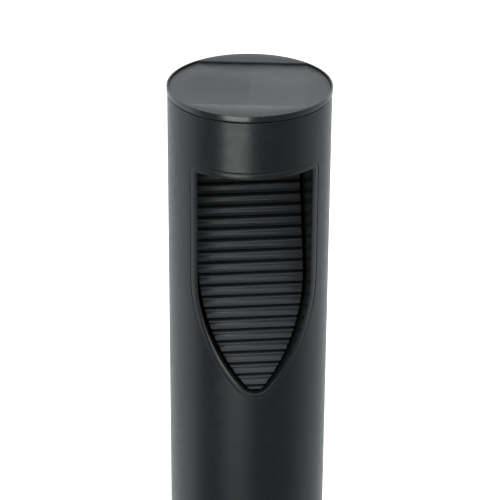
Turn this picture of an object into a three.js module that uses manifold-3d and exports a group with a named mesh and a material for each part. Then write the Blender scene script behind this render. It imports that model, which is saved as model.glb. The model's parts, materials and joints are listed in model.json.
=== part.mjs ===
// A solar bollard light: a round plastic tube on a screwed-down base, with a tall shield-shaped window in its
// front. A staircase of slats stands in the window's recess, and a twist-lock solar head shines down on it.
// Millimetres, +Z up. The origin is the middle of the base's underside, and the window faces -Y.
import * as THREE from "three";
import { mergeVertices } from "three/addons/utils/BufferGeometryUtils.js";
import Module from "manifold-3d";

const wasm = await Module();
wasm.setup();

// ---- Driving dimensions ----
const TOTAL_HEIGHT = 600;
const GAP = 0.3; // between pieces that touch

const TUBE_RADIUS = 55;
const TUBE_WALL = 2.5;
const TUBE_INNER = TUBE_RADIUS - TUBE_WALL;
const TUBE_SIDES = 80;

const BASE_RADIUS = 73;
const BASE_PLATE = 8;
const BASE_CHAMFER = 1.5;
const SPIGOT_TOP = 40;
const SPIGOT_INNER = 46;
const GROUND_HOLE_RADIUS = 3.5;
const GROUND_HOLE_PITCH = 64;
const GROUND_HOLES = 4;
const SIDE_SCREW_HEIGHT = 24;
const SIDE_SCREWS = 3;

const RIM_RADIUS = 55.4;
const RIM_HEIGHT = 4.5;
const SEAM = 0.6;
const HEAD_TURN = THREE.MathUtils.degToRad(-8.3); // the locked head against the window
const PANEL_FRONT = 35.4; // from the middle to the panel's front chord
const PANEL_BACK = 38.5;
const PANEL_RADIUS = 53.6;
const PANEL_THICKNESS = 1.4;
const PANEL_DEPTH = 1.0; // of its face below the rim
const SEAL_THICKNESS = 0.6;

// The window's inner opening: straight sides, then two arcs that meet in a rounded tip.
const OPENING_HALF = 38.3;
const OPENING_TOP = TOTAL_HEIGHT - 45.5;
const OPENING_SPRING = TOTAL_HEIGHT - 125.8;
const OPENING_ARC = 113;
const OPENING_CORNER = 2;
const OPENING_TIP = 11.75;
// The band around it: how far the outline grows on the sides, and how much more it moves at top and spring.
const BAND = 4.3;
const BAND_TOP_GROWTH = 4.8 / BAND;
const BAND_SPRING_GROWTH = 0.8 / BAND;

// The staircase of slats: the line that their fronts follow, as forward = SLAT_FRONT + SLAT_SLOPE * drop.
const SLAT_FRONT = -8;
const SLAT_SLOPE = 0.496;
const SLAT_LINE_TOP = TOTAL_HEIGHT - 81.7;
const SLAT_PITCH = 6.925;
const SLAT_HEIGHT = 5.45;
const SLAT_DEPTH = 6;
const SLAT_SCOOP = 0.5;
const SLAT_FIRST = TOTAL_HEIGHT - 207.7;
const SLAT_COUNT = 22;
const SLAT_SIDE_GAP = 2.2;
const LOUVRE_PLATE = 2.2;
const LOUVRE_TOP = TOTAL_HEIGHT - 47.4;
const LOUVRE_BACK = -27.5; // forward place of the upright back plate's front face
const RECESS_WALL = 2;
const RECESS_BACK = -30.4;

const CAN_RADIUS = 47.5;
const CAN_WALL = 1.8;
const CAN_FLOOR = TOTAL_HEIGHT - 42.6;
const CAN_TOP = TOTAL_HEIGHT - 10;
const SKIRT_OUTER = 49.6;
const SKIRT_INNER = 47.8;
const SKIRT_BOTTOM = TOTAL_HEIGHT - 23;

const COLLAR_BOTTOM = TOTAL_HEIGHT - 27;
const COLLAR_TOP = TOTAL_HEIGHT - 9.4;
const COLLAR_INNER = 50.1;
const LUGS = 3;
const LUG_TURN = 30; // degrees from locked to free
const LUG_HALF = 5; // degrees, half the lug's width
const LUG_PLAY = 0.6; // degrees
const LUG_TOP = TOTAL_HEIGHT - 15.4;
const LUG_HEIGHT = 4.2;

const LENS_RADIUS = 17;
const LENS_FORWARD = 5;
const CELL_RADIUS = 7.1;
const CELL_LENGTH = 49.5;
const CELL_PLACE = [0, 25, TOTAL_HEIGHT - 30];
const BOARD_BOTTOM = TOTAL_HEIGHT - 15;
const BOARD_THICKNESS = 1.6;
const SWITCH_BACK = 39;

const SIDE_SCREW = 2.2; // hole radii
const LIGHT_SCREW_SIDE = 23.5;
const LIGHT_BOARD_BOTTOM = CAN_FLOOR + 6.3;
const CAN_SCREW_HEIGHT = SKIRT_BOTTOM + 4;
const PANEL_LEAD_PLACE = [-14, -12];

// ---- Materials ----
const matt = (color, roughness, metalness = 0) =>
  new THREE.MeshStandardMaterial({ color, roughness, metalness });
const blackPlastic = () => matt(0x2a2c2e, 0.45);
const glossBlack = () => matt(0x151617, 0.2);
const steel = () => matt(0xb4b6b8, 0.35, 1);
const boardGreen = () => matt(0x1f5a35, 0.5);

// ---- Helpers ----
// Turns the faces round where a geometry came out inside out, and merges shared corners.
function closed(geometry) {
  const bare = geometry.index ? geometry.toNonIndexed() : geometry.clone();
  bare.deleteAttribute("normal");
  bare.deleteAttribute("uv");
  const merged = mergeVertices(bare, 1e-4);
  const at = (i) => new THREE.Vector3().fromBufferAttribute(merged.attributes.position, i);
  const index = merged.index.array;
  let volume = 0;
  for (let i = 0; i < index.length; i += 3) {
    volume += at(index[i]).dot(at(index[i + 1]).cross(at(index[i + 2])));
  }
  if (volume < 0) {
    for (let i = 0; i < index.length; i += 3) [index[i + 1], index[i + 2]] = [index[i + 2], index[i + 1]];
  }
  return merged;
}

function solid(geometry) {
  const merged = closed(geometry);
  return new wasm.Manifold(
    new wasm.Mesh({
      numProp: 3,
      vertProperties: merged.attributes.position.array,
      triVerts: new Uint32Array(merged.index.array),
    }),
  );
}

function geometryOf(body) {
  const { vertProperties, triVerts } = body.getMesh();
  return new THREE.BufferGeometry()
    .setAttribute("position", new THREE.BufferAttribute(vertProperties, 3))
    .setIndex(new THREE.BufferAttribute(triVerts, 1));
}

function piece(parent, name, shape, material) {
  const geometry = shape.isBufferGeometry ? closed(shape) : geometryOf(shape);
  const mesh = new THREE.Mesh(geometry, material);
  mesh.name = name;
  parent.add(mesh);
  return mesh;
}

const cut = (body, ...tools) => tools.reduce((left, tool) => left.subtract(tool), body);
const join = (body, ...more) => more.reduce((all, one) => all.add(one), body);

// A round bar along Z, as a solid at the given place.
const bar = (radius, low, high, sides, x = 0, y = 0) => solid(rod(radius, low, high, sides).translate(x, y, 0));

// A round bar outwards from the axis at the given angle and height.
function spoke(radius, from, to, angle, height) {
  const along = rod(radius, from, to, 12).rotateY(Math.PI / 2).rotateZ(angle);
  return solid(along.translate(0, 0, height));
}

// A closed profile of [radius, height] pairs turned about Z.
function turned(profile, sides = 48) {
  const points = profile.map(([r, z]) => new THREE.Vector2(r, z));
  if (profile[0][0] > 0) points.push(points[0].clone());
  return new THREE.LatheGeometry(points, sides).rotateX(Math.PI / 2);
}

const ring = (inner, outer, low, high, sides = 64) =>
  turned([[inner, low], [outer, low], [outer, high], [inner, high]], sides);

const rod = (radius, low, high, sides = 24) =>
  turned([[0, low], [radius, low], [radius, high], [0, high]], sides);

function block([x0, y0, z0], [x1, y1, z1]) {
  return new THREE.BoxGeometry(x1 - x0, y1 - y0, z1 - z0).translate(
    (x0 + x1) / 2,
    (y0 + y1) / 2,
    (z0 + z1) / 2,
  );
}

// A sector of a ring about Z, angles in degrees.
function sector(inner, outer, from, to, low, high) {
  const [a, b] = [from, to].map(THREE.MathUtils.degToRad);
  const shape = new THREE.Shape();
  shape.absarc(0, 0, outer, a, b, false);
  shape.absarc(0, 0, inner, b, a, true);
  const options = { depth: high - low, bevelEnabled: false, curveSegments: 8 };
  return new THREE.ExtrudeGeometry(shape, options).translate(0, 0, low);
}

// An outline in X and Z, extruded along Y from back to front (front is towards -Y).
function frontal(shape, back, front) {
  return new THREE.ExtrudeGeometry(shape, { depth: front - back, bevelEnabled: false })
    .rotateX(Math.PI / 2)
    .translate(0, -back, 0);
}

// A pan-head screw along +Z: its head is below zero, its shank above.
function screwShape(shank, length, head, headHeight) {
  return turned(
    [
      [0, -headHeight * 0.55],
      [head * 0.45, -headHeight * 0.55],
      [head * 0.45, -headHeight],
      [head * 0.8, -headHeight * 0.8],
      [head, -headHeight * 0.35],
      [head, 0],
      [shank, 0],
      [shank, length - shank],
      [0, length],
    ],
    10,
  );
}

// A round lead along a smooth curve through the given points.
function lead(points, radius) {
  const route = new THREE.CatmullRomCurve3(points.map((p) => new THREE.Vector3(...p)));
  const section = new THREE.Shape().absarc(0, 0, radius, 0, 2 * Math.PI, false);
  return new THREE.ExtrudeGeometry(section, { steps: 14, curveSegments: 4, extrudePath: route });
}

// ---- The window's outline ----
// Points of the outline grown by the given offset from the inner opening, clockwise from the top right.
function windowOutline(offset) {
  const top = OPENING_TOP + offset * BAND_TOP_GROWTH;
  const spring = OPENING_SPRING + offset * BAND_SPRING_GROWTH;
  const corner = Math.max(OPENING_CORNER + offset, 0.3);
  const half = OPENING_HALF + offset;
  const centre = OPENING_ARC - OPENING_HALF;
  const drop = Math.sqrt((OPENING_ARC - OPENING_TIP) ** 2 - centre ** 2);
  const lean = Math.atan2(drop, centre);
  const points = [];
  const arc = (x, z, radius, from, to, steps) => {
    for (let i = 0; i <= steps; i++) {
      const angle = THREE.MathUtils.lerp(from, to, i / steps);
      points.push(new THREE.Vector2(x + radius * Math.cos(angle), z + radius * Math.sin(angle)));
    }
  };
  const line = (x0, z0, x1, z1, steps) => {
    for (let i = 1; i < steps; i++) {
      points.push(new THREE.Vector2(x0, z0).lerp(new THREE.Vector2(x1, z1), i / steps));
    }
  };
  const tipFrom = -lean - 0.12;
  const tipTo = lean + 0.12 - Math.PI;
  arc(half - corner, top - corner, corner, Math.PI / 2, 0, 3);
  line(half, top - corner, half, spring, 6);
  arc(-centre, spring, OPENING_ARC + offset, 0, -lean, 9);
  arc(0, spring - drop, OPENING_TIP + offset, tipFrom, tipTo, 5);
  arc(centre, spring, OPENING_ARC + offset, lean - Math.PI, -Math.PI, 9);
  line(-half, spring, -half, top - corner, 6);
  arc(corner - half, top - corner, corner, Math.PI, Math.PI / 2, 3);
  line(corner - half, top, half - corner, top, 12);
  return points;
}

const windowPrism = (offset, back, front) =>
  solid(frontal(new THREE.Shape(windowOutline(offset)), back, front));

// How far forward the slats' fronts stand at a height, and the floor of the slots between them.
const slatLine = (z) => SLAT_FRONT + SLAT_SLOPE * (SLAT_LINE_TOP - z);
const slotFloor = (z) => Math.max(slatLine(z) - SLAT_DEPTH, LOUVRE_BACK);

// ---- Base ----
function baseFlange() {
  const top = SPIGOT_TOP;
  const profile = [
    [SPIGOT_INNER, 0],
    [BASE_RADIUS, 0],
    [BASE_RADIUS, BASE_PLATE - BASE_CHAMFER],
    [BASE_RADIUS - BASE_CHAMFER, BASE_PLATE],
    [TUBE_INNER - GAP, BASE_PLATE],
    [TUBE_INNER - GAP, top - 1],
    [TUBE_INNER - GAP - 1, top],
    [SPIGOT_INNER, top],
  ];
  let body = solid(turned(profile, 48));
  for (let i = 0; i < GROUND_HOLES; i++) {
    const angle = Math.PI / 4 + (i * 2 * Math.PI) / GROUND_HOLES;
    const place = [GROUND_HOLE_PITCH * Math.cos(angle), GROUND_HOLE_PITCH * Math.sin(angle)];
    body = body.subtract(bar(GROUND_HOLE_RADIUS, -1, BASE_PLATE + 1, 12, ...place));
  }
  return sideDrilled(body, SIDE_SCREW);
}

// Holes for the side screws, through whatever stands in their way.
function sideDrilled(body, radius) {
  let drilled = body;
  for (let i = 0; i < SIDE_SCREWS; i++) {
    drilled = drilled.subtract(spoke(radius, 30, 70, sideScrewAngle(i), SIDE_SCREW_HEIGHT));
  }
  return drilled;
}

const sideScrewAngle = (i) => Math.PI / 2 + (i * 2 * Math.PI) / SIDE_SCREWS;

// ---- Tube ----
function bodyTube() {
  const low = BASE_PLATE + GAP;
  const high = TOTAL_HEIGHT - RIM_HEIGHT - SEAM;
  const shell = solid(ring(TUBE_INNER, TUBE_RADIUS, low, high, TUBE_SIDES));
  const opening = windowPrism(BAND, 20, TUBE_RADIUS + 5);
  return sideDrilled(shell.subtract(opening), SIDE_SCREW + 0.1);
}

// A ring inside the tube's mouth, with an L-shaped slot for each of the head's lugs.
function lockCollar() {
  let body = solid(ring(COLLAR_INNER, TUBE_INNER - GAP, COLLAR_BOTTOM, COLLAR_TOP, 64));
  const degrees = THREE.MathUtils.radToDeg(HEAD_TURN);
  for (let i = 0; i < LUGS; i++) {
    const locked = degrees + (i * 360) / LUGS;
    const from = locked - LUG_HALF - LUG_PLAY;
    const to = locked + LUG_TURN + LUG_HALF + LUG_PLAY;
    const low = LUG_TOP - LUG_HEIGHT - GAP;
    const along = sector(COLLAR_INNER - 1, TUBE_RADIUS, from, to, low, LUG_TOP + GAP);
    const entry = sector(COLLAR_INNER - 1, TUBE_RADIUS, from + LUG_TURN, to, low, COLLAR_TOP + 1);
    body = cut(body, solid(along), solid(entry));
  }
  return body;
}

// ---- Window ----
// A band that lines the tube's cut-out, almost flush with it, and carries the recess's walls backwards.
function windowBezel() {
  const forward = (x, radius) => Math.sqrt(radius ** 2 - x ** 2);
  const wallBack = (z) => Math.max(slatLine(z) - SLAT_DEPTH - LOUVRE_PLATE - GAP, RECESS_BACK);
  const skin = TUBE_RADIUS - 0.5;
  const behind = TUBE_INNER - 0.4;
  const flangeBack = behind - 2;
  const corners = [
    [BAND - GAP, (p) => forward(p.x, skin)],
    [0, (p) => forward(p.x, skin - 0.4)],
    [0, (p) => wallBack(p.y)],
    [RECESS_WALL, (p) => wallBack(p.y)],
    [RECESS_WALL, (p) => forward(p.x, flangeBack)],
    [BAND + 4, (p) => forward(p.x, flangeBack)],
    [BAND + 4, (p) => forward(p.x, behind)],
    [BAND - GAP, (p) => forward(p.x, behind)],
  ];
  const loops = corners.map(([offset, depth]) =>
    windowOutline(offset).map((p) => new THREE.Vector3(p.x, -depth(p), p.y)),
  );
  let body = solid(loft(loops));
  body = body.subtract(bar(LENS_RADIUS + 1.3, OPENING_TOP - 5, OPENING_TOP + 5, 40, 0, -LENS_FORWARD));
  for (const [x, z] of screwPlaces()) {
    const front = -slatLine(z);
    const inner = Math.abs(x) - EAR_HALF - RECESS_WALL;
    const outer = Math.abs(x) + EAR_HALF;
    const boss = block([inner, front + BOSS_FRONT, z - 5], [outer, front + BOSS_BACK, z + 5]);
    if (x < 0) boss.scale(-1, 1, 1);
    const shaft = rod(1.45, -2, 7, 10).rotateX(Math.PI / 2);
    body = body.add(solid(boss).subtract(windowPrism(0.01, -40, 70)));
    body = body.subtract(solid(shaft.translate(x, front + BOSS_BACK, z)));
  }
  return body;
}

// Joins closed loops with the same number of points into one closed ring-shaped surface.
function loft(loops) {
  const count = loops[0].length;
  const positions = loops.flat().flatMap((p) => [p.x, p.y, p.z]);
  const index = [];
  for (let j = 0; j < loops.length; j++) {
    const next = (j + 1) % loops.length;
    for (let i = 0; i < count; i++) {
      const after = (i + 1) % count;
      const [a, b, c, d] = [j * count + i, j * count + after, next * count + after, next * count + i];
      index.push(a, b, c, a, c, d);
    }
  }
  return new THREE.BufferGeometry()
    .setAttribute("position", new THREE.BufferAttribute(new Float32Array(positions), 3))
    .setIndex(index);
}

// Where the louvre's ears are screwed to the bezel's bosses, X and Z, and how far back from the slats' line.
const EAR_HALF = 4.2;
const BOSS_FRONT = 2.4;
const BOSS_BACK = 10.6;
const EAR_FRONT = BOSS_BACK + 0.4;
const EAR_BACK = EAR_FRONT + 2.4;
const screwPlaces = () => [
  [-44.6, 488],
  [44.6, 488],
  [-35.4, 432],
  [35.4, 432],
];

// ---- Louvre ----
// The staircase in profile, forward against height: scooped slats on a sloping plate, upright at the top.
function louvreProfile() {
  const points = [];
  const add = (forward, z) => points.push(new THREE.Vector2(forward, z));
  for (let i = 0; i < SLAT_COUNT; i++) {
    const low = SLAT_FIRST + i * SLAT_PITCH;
    const high = low + SLAT_HEIGHT;
    const middle = (low + high) / 2;
    add(slotFloor(low), low);
    add(slatLine(low) - 0.5, low);
    add(slatLine(low + 0.5), low + 0.5);
    add(slatLine(middle) - SLAT_SCOOP, middle);
    add(slatLine(high - 0.4), high - 0.4);
    add(slatLine(high) - 0.6, high);
    add(slotFloor(high), high);
  }
  const bottom = OPENING_SPRING - 90;
  const bend = SLAT_LINE_TOP - (LOUVRE_BACK - SLAT_FRONT + SLAT_DEPTH) / SLAT_SLOPE;
  add(LOUVRE_BACK, LOUVRE_TOP);
  add(LOUVRE_BACK - LOUVRE_PLATE, LOUVRE_TOP);
  add(LOUVRE_BACK - LOUVRE_PLATE, bend);
  add(slotFloor(bottom) - LOUVRE_PLATE, bottom);
  add(slotFloor(bottom), bottom);
  return points;
}

function louvreInsert() {
  const shape = new THREE.Shape(louvreProfile());
  const width = 2 * OPENING_HALF;
  const comb = new THREE.ExtrudeGeometry(shape, { depth: width, bevelEnabled: false })
    .rotateX(Math.PI / 2)
    .rotateZ(-Math.PI / 2)
    .translate(OPENING_HALF, 0, 0);
  let body = solid(comb).intersect(windowPrism(-SLAT_SIDE_GAP, -40, 70));
  for (const [x, z] of screwPlaces()) {
    const front = -slatLine(z);
    const inner = Math.abs(x) - 11.5;
    const foot = block([inner, front + 7, z - 4], [inner + EAR_HALF, front + EAR_BACK, z + 4]);
    const ear = block([inner, front + EAR_FRONT, z - 4], [Math.abs(x) + EAR_HALF, front + EAR_BACK, z + 4]);
    if (x < 0) {
      foot.scale(-1, 1, 1);
      ear.scale(-1, 1, 1);
    }
    const hole = rod(1.7, -20, 20, 12).rotateX(Math.PI / 2).translate(x, front + EAR_FRONT, z);
    body = join(body, solid(foot), cut(solid(ear), solid(hole)));
  }
  return body;
}

// ---- Head ----
// The panel's outline grown by the given offset: a disc cut off by a chord at the front and one at the back.
function panelOutline(offset) {
  const radius = PANEL_RADIUS + offset;
  const front = Math.asin((PANEL_FRONT + offset) / radius);
  const back = Math.asin((PANEL_BACK + offset) / radius);
  const shape = new THREE.Shape();
  shape.absarc(0, 0, radius, -front, back, false);
  shape.absarc(0, 0, radius, Math.PI - back, Math.PI + front, false);
  return shape;
}

function slab(shape, low, high, curveSegments = 16) {
  const options = { depth: high - low, bevelEnabled: false, curveSegments };
  return new THREE.ExtrudeGeometry(shape, options).translate(0, 0, low);
}

function headCap() {
  const plateBottom = TOTAL_HEIGHT - RIM_HEIGHT;
  const seat = TOTAL_HEIGHT - PANEL_DEPTH - PANEL_THICKNESS - SEAL_THICKNESS - 2 * GAP;
  const outside = [
    [0, plateBottom],
    [SKIRT_INNER, plateBottom],
    [SKIRT_INNER, SKIRT_BOTTOM],
    [SKIRT_OUTER, SKIRT_BOTTOM],
    [SKIRT_OUTER, plateBottom],
    [RIM_RADIUS, plateBottom],
    [RIM_RADIUS, TOTAL_HEIGHT - 0.5],
    [RIM_RADIUS - 0.5, TOTAL_HEIGHT],
    [0, TOTAL_HEIGHT],
  ];
  let body = solid(turned(outside, TUBE_SIDES));
  body = body.subtract(solid(slab(panelOutline(GAP), seat, TOTAL_HEIGHT + 1)));
  for (let i = 0; i < LUGS; i++) {
    const from = (i * 360) / LUGS - LUG_HALF;
    const to = from + 2 * LUG_HALF;
    const lug = sector(SKIRT_OUTER - 1, TUBE_INNER - 0.9, from, to, LUG_TOP - LUG_HEIGHT, LUG_TOP);
    body = body.add(solid(lug));
    body = body.subtract(spoke(1.7, 40, 60, canScrewAngle(i), CAN_SCREW_HEIGHT));
  }
  for (const [x, y] of bossPlaces()) {
    const boss = bar(2.9, BOARD_BOTTOM + BOARD_THICKNESS + GAP, plateBottom + 0.5, 16, x, y);
    body = body.add(boss).subtract(bar(1.3, BOARD_BOTTOM, plateBottom - 1, 10, x, y));
  }
  return body.subtract(bar(2.2, plateBottom - 5, seat + 5, 16, ...PANEL_LEAD_PLACE));
}

const canScrewAngle = (i) => Math.PI / 6 + (i * 2 * Math.PI) / LUGS;
const bossPlaces = () => [
  [-21, 0],
  [21, 0],
];

function panelSeal() {
  const high = TOTAL_HEIGHT - PANEL_DEPTH - PANEL_THICKNESS - GAP;
  const outer = panelOutline(0);
  outer.holes.push(panelOutline(-4));
  return slab(outer, high - SEAL_THICKNESS, high);
}

function solarPanel() {
  const high = TOTAL_HEIGHT - PANEL_DEPTH;
  return slab(panelOutline(0), high - PANEL_THICKNESS, high, 24);
}

function headSealRing() {
  const radius = 1.05;
  const points = [];
  for (let i = 0; i < 6; i++) {
    const angle = (i * 2 * Math.PI) / 6;
    points.push([51.0 + radius * Math.cos(angle), TOTAL_HEIGHT - 7.4 + radius * Math.sin(angle)]);
  }
  return turned(points, 48);
}

function headCan() {
  const floor = CAN_FLOOR + 2;
  const inner = CAN_RADIUS - CAN_WALL;
  const profile = [
    [0, CAN_FLOOR],
    [CAN_RADIUS - 1, CAN_FLOOR],
    [CAN_RADIUS, CAN_FLOOR + 1],
    [CAN_RADIUS, CAN_TOP],
    [inner, CAN_TOP],
    [inner, floor],
    [0, floor],
  ];
  let body = solid(turned(profile, 48));
  for (const x of [-LIGHT_SCREW_SIDE, LIGHT_SCREW_SIDE]) {
    const post = bar(2.6, floor - 0.5, floor + 4, 16, x, -LENS_FORWARD);
    body = body.add(post).subtract(bar(1.0, floor, floor + 5, 10, x, -LENS_FORWARD));
  }
  const light = bar(LENS_RADIUS, CAN_FLOOR - 1, floor + 1, 40, 0, -LENS_FORWARD);
  const slot = block([-4.2, SWITCH_BACK - 1.6, CAN_FLOOR - 1], [4.2, SWITCH_BACK + 1.6, floor + 1]);
  body = cut(body, light, solid(slot));
  for (let i = 0; i < LUGS; i++) {
    body = body.subtract(spoke(1.5, 40, 60, canScrewAngle(i), CAN_SCREW_HEIGHT));
  }
  return body;
}

// A frosted disc that hangs through the can's floor, on a lip inside.
function lightLens() {
  const floor = CAN_FLOOR + 2;
  const profile = [
    [0, CAN_FLOOR - 0.8],
    [LENS_RADIUS - 1.3, CAN_FLOOR - 0.8],
    [LENS_RADIUS - GAP, CAN_FLOOR + 0.2],
    [LENS_RADIUS - GAP, floor + GAP],
    [LENS_RADIUS + 2.5, floor + GAP],
    [LENS_RADIUS + 2.5, floor + GAP + 1.2],
    [0, floor + GAP + 1.2],
  ];
  return turned(profile, 40);
}

function lightBoard() {
  const low = LIGHT_BOARD_BOTTOM;
  const plate = solid(block([-27, -13, low], [27, 13, low + BOARD_THICKNESS]));
  const holes = [-LIGHT_SCREW_SIDE, LIGHT_SCREW_SIDE].map((x) => bar(1.3, low - 1, low + 3, 12, x));
  return cut(plate, ...holes);
}

function diodeShape() {
  return join(solid(block([-2.5, -2.5, -1.1], [2.5, 2.5, 0])), bar(1.8, -1.6, -1, 16));
}

function controlBoard() {
  const high = BOARD_BOTTOM + BOARD_THICKNESS;
  const plate = solid(block([-26, -17, BOARD_BOTTOM], [26, 17, high]));
  const holes = bossPlaces().map(([x, y]) => bar(1.5, BOARD_BOTTOM - 1, high + 1, 12, x, y));
  const chip = block([-4, -4, BOARD_BOTTOM - 1.4], [5, 2, BOARD_BOTTOM + 0.5]);
  const coil = bar(4, BOARD_BOTTOM - 3.2, BOARD_BOTTOM + 0.5, 20, 12, -9);
  const capacitor = bar(2.5, BOARD_BOTTOM - 4.5, BOARD_BOTTOM + 0.5, 16, -12, 9);
  const socket = block([10, 6, BOARD_BOTTOM - 4], [18, 12, BOARD_BOTTOM + 0.5]);
  return join(cut(plate, ...holes), solid(chip), coil, capacitor, solid(socket));
}

function batteryTray() {
  const [, y, z] = CELL_PLACE;
  const low = CAN_FLOOR + 2 + GAP;
  const half = CELL_LENGTH / 2 + 4.6;
  const deep = CELL_RADIUS + 1.8;
  const body = solid(block([-half, y - deep, low], [half, y + deep, z + 1]));
  const end = half - 1.6;
  const room = CELL_RADIUS + 0.4;
  const trough = rod(room, -end, end, 24).rotateY(Math.PI / 2).translate(0, y, z);
  const mouth = block([-end, y - room, z], [end, y + room, z + 9]);
  return cut(body, solid(trough), solid(mouth));
}

function batteryCell() {
  const half = CELL_LENGTH / 2;
  const profile = [
    [0, -half],
    [CELL_RADIUS - 0.5, -half],
    [CELL_RADIUS, -half + 0.5],
    [CELL_RADIUS, half - 2],
    [CELL_RADIUS - 0.6, half - 1.2],
    [2.75, half - 1.2],
    [2.75, half],
    [0, half],
  ];
  return turned(profile, 24).rotateY(Math.PI / 2);
}

const contactPlate = () => block([-0.25, -5, -4], [0.25, 5, 5]);

// A coil whose turns widen towards the tray's wall.
function contactSpring() {
  const turns = 2.5;
  const points = [];
  for (let i = 0; i <= 20; i++) {
    const share = i / 20;
    const angle = share * turns * 2 * Math.PI;
    const radius = 4.2 - share * 1.7;
    points.push(new THREE.Vector3(share * 1.7, radius * Math.cos(angle), radius * Math.sin(angle)));
  }
  const section = new THREE.Shape().absarc(0, 0, 0.3, 0, 2 * Math.PI, false);
  const options = { steps: 40, curveSegments: 3, extrudePath: new THREE.CatmullRomCurve3(points) };
  return new THREE.ExtrudeGeometry(section, options);
}

function switchBody() {
  const low = CAN_FLOOR + 2 + GAP;
  const shell = solid(block([-6, -3.2, low], [6, 3.2, low + 5.5]));
  const track = block([-4.6, -1.9, low - 1], [4.6, 1.9, low + 3.4]);
  return shell.subtract(solid(track));
}

// The knob reaches down into the can's floor, and its wide foot slides in the switch.
function switchSlider() {
  const low = CAN_FLOOR + 2 + GAP;
  return join(
    solid(block([-4.2, -1.5, low + 0.4], [1.2, 1.5, low + 3])),
    solid(block([-3.9, -1.2, CAN_FLOOR + 0.3], [-0.9, 1.2, low + 1])),
  );
}

// ---- Assembly ----
const bollard = new THREE.Group();
const pole = new THREE.Group();
const head = new THREE.Group();
head.rotation.z = HEAD_TURN;
bollard.add(pole, head);

piece(pole, "base_flange", baseFlange(), blackPlastic());
piece(pole, "body_tube", bodyTube(), blackPlastic());
piece(pole, "lock_collar", lockCollar(), blackPlastic());
piece(pole, "window_bezel", windowBezel(), glossBlack());
piece(pole, "louvre_insert", louvreInsert(), blackPlastic());

for (let i = 0; i < SIDE_SCREWS; i++) {
  const turn = new THREE.Group();
  turn.rotation.z = sideScrewAngle(i);
  pole.add(turn);
  const screw = piece(turn, `base_screw_${i + 1}`, screwShape(1.9, 8.5, 3.6, 2.2), steel());
  screw.position.set(TUBE_RADIUS + GAP, 0, SIDE_SCREW_HEIGHT);
  screw.rotation.y = -Math.PI / 2;
}

screwPlaces().forEach(([x, z], i) => {
  const screw = piece(pole, `louvre_screw_${i + 1}`, screwShape(1.2, 9, 2.8, 1.8), steel());
  screw.position.set(x, -slatLine(z) + EAR_BACK + GAP, z);
  screw.rotation.x = Math.PI / 2;
});

piece(head, "head_cap", headCap(), blackPlastic());
piece(head, "panel_seal", panelSeal(), matt(0x111111, 0.9));
piece(head, "solar_panel", solarPanel(), matt(0x2b2e36, 0.25));
piece(head, "head_seal_ring", headSealRing(), matt(0x111111, 0.8));
piece(head, "head_can", headCan(), blackPlastic());
piece(head, "light_lens", lightLens(), matt(0xf2f2ee, 0.5)).position.y = -LENS_FORWARD;
piece(head, "light_board", lightBoard(), matt(0xe8e8e4, 0.5)).position.y = -LENS_FORWARD;
piece(head, "control_board", controlBoard(), boardGreen());
piece(head, "battery_tray", batteryTray(), blackPlastic());
piece(head, "battery_cell", batteryCell(), matt(0x2f6f9a, 0.4)).position.set(...CELL_PLACE);
piece(head, "switch_body", switchBody(), steel()).position.y = SWITCH_BACK;
piece(head, "switch_slider", switchSlider(), blackPlastic()).position.y = SWITCH_BACK;

const contactReach = CELL_LENGTH / 2 + 2.5;
const [, cellBack, cellHeight] = CELL_PLACE;
piece(head, "battery_contact", contactPlate(), steel()).position.set(contactReach, cellBack, cellHeight);
piece(head, "battery_spring", contactSpring(), steel()).position.set(-contactReach, cellBack, cellHeight);

[-9, 0, 9].forEach((x, i) => {
  const diode = piece(head, `light_diode_${i + 1}`, diodeShape(), matt(0xf6e9a8, 0.4));
  diode.position.set(x, -LENS_FORWARD, LIGHT_BOARD_BOTTOM - GAP);
});

for (let i = 0; i < LUGS; i++) {
  const turn = new THREE.Group();
  turn.rotation.z = canScrewAngle(i);
  head.add(turn);
  const screw = piece(turn, `can_screw_${i + 1}`, screwShape(1.2, 4.1, 2.2, 1.2), steel());
  screw.position.set(CAN_RADIUS - CAN_WALL - GAP, 0, CAN_SCREW_HEIGHT);
  screw.rotation.y = Math.PI / 2;
}

bossPlaces().forEach(([x, y], i) => {
  const screw = piece(head, `board_screw_${i + 1}`, screwShape(1.0, 8, 2.2, 1.4), steel());
  screw.position.set(x, y, BOARD_BOTTOM - GAP);
});

const lightBoardTop = LIGHT_BOARD_BOTTOM + BOARD_THICKNESS + GAP;
[-LIGHT_SCREW_SIDE, LIGHT_SCREW_SIDE].forEach((x, i) => {
  const screw = piece(head, `light_screw_${i + 1}`, screwShape(0.75, 5, 2.0, 1.2), steel());
  screw.position.set(x, -LENS_FORWARD, lightBoardTop);
  screw.rotation.x = Math.PI;
});

const panelUnder = TOTAL_HEIGHT - PANEL_DEPTH - PANEL_THICKNESS - GAP;
const panelLead = [
  [...PANEL_LEAD_PLACE, panelUnder - 0.2],
  [...PANEL_LEAD_PLACE, panelUnder - 4],
  [-11, -12, BOARD_BOTTOM + BOARD_THICKNESS + 4],
  [-10, -12, BOARD_BOTTOM + BOARD_THICKNESS + 0.6],
];
piece(head, "panel_lead", lead(panelLead, 0.9), matt(0x8c1c1c, 0.6));

const lightLead = [
  [-20, -LENS_FORWARD, lightBoardTop],
  [-20, -LENS_FORWARD, CAN_FLOOR + 14],
  [-18, -10, CAN_FLOOR + 22],
  [-17, -12, BOARD_BOTTOM - GAP],
];
piece(head, "light_lead", lead(lightLead, 0.8), matt(0x8c1c1c, 0.6));

const batteryLead = [
  [33.4, cellBack, cellHeight - 1],
  [36, cellBack - 2, cellHeight + 5],
  [30, 12, BOARD_BOTTOM - 4],
  [18.4, 9, BOARD_BOTTOM - 2],
];
piece(head, "battery_lead", lead(batteryLead, 0.8), matt(0x222222, 0.6));

export default bollard;
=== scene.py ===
"""The solar bollard light's visible pieces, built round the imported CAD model.

Sizes are in millimetres until an object is made. +Z is up, and the window faces -Y.
"""

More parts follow.
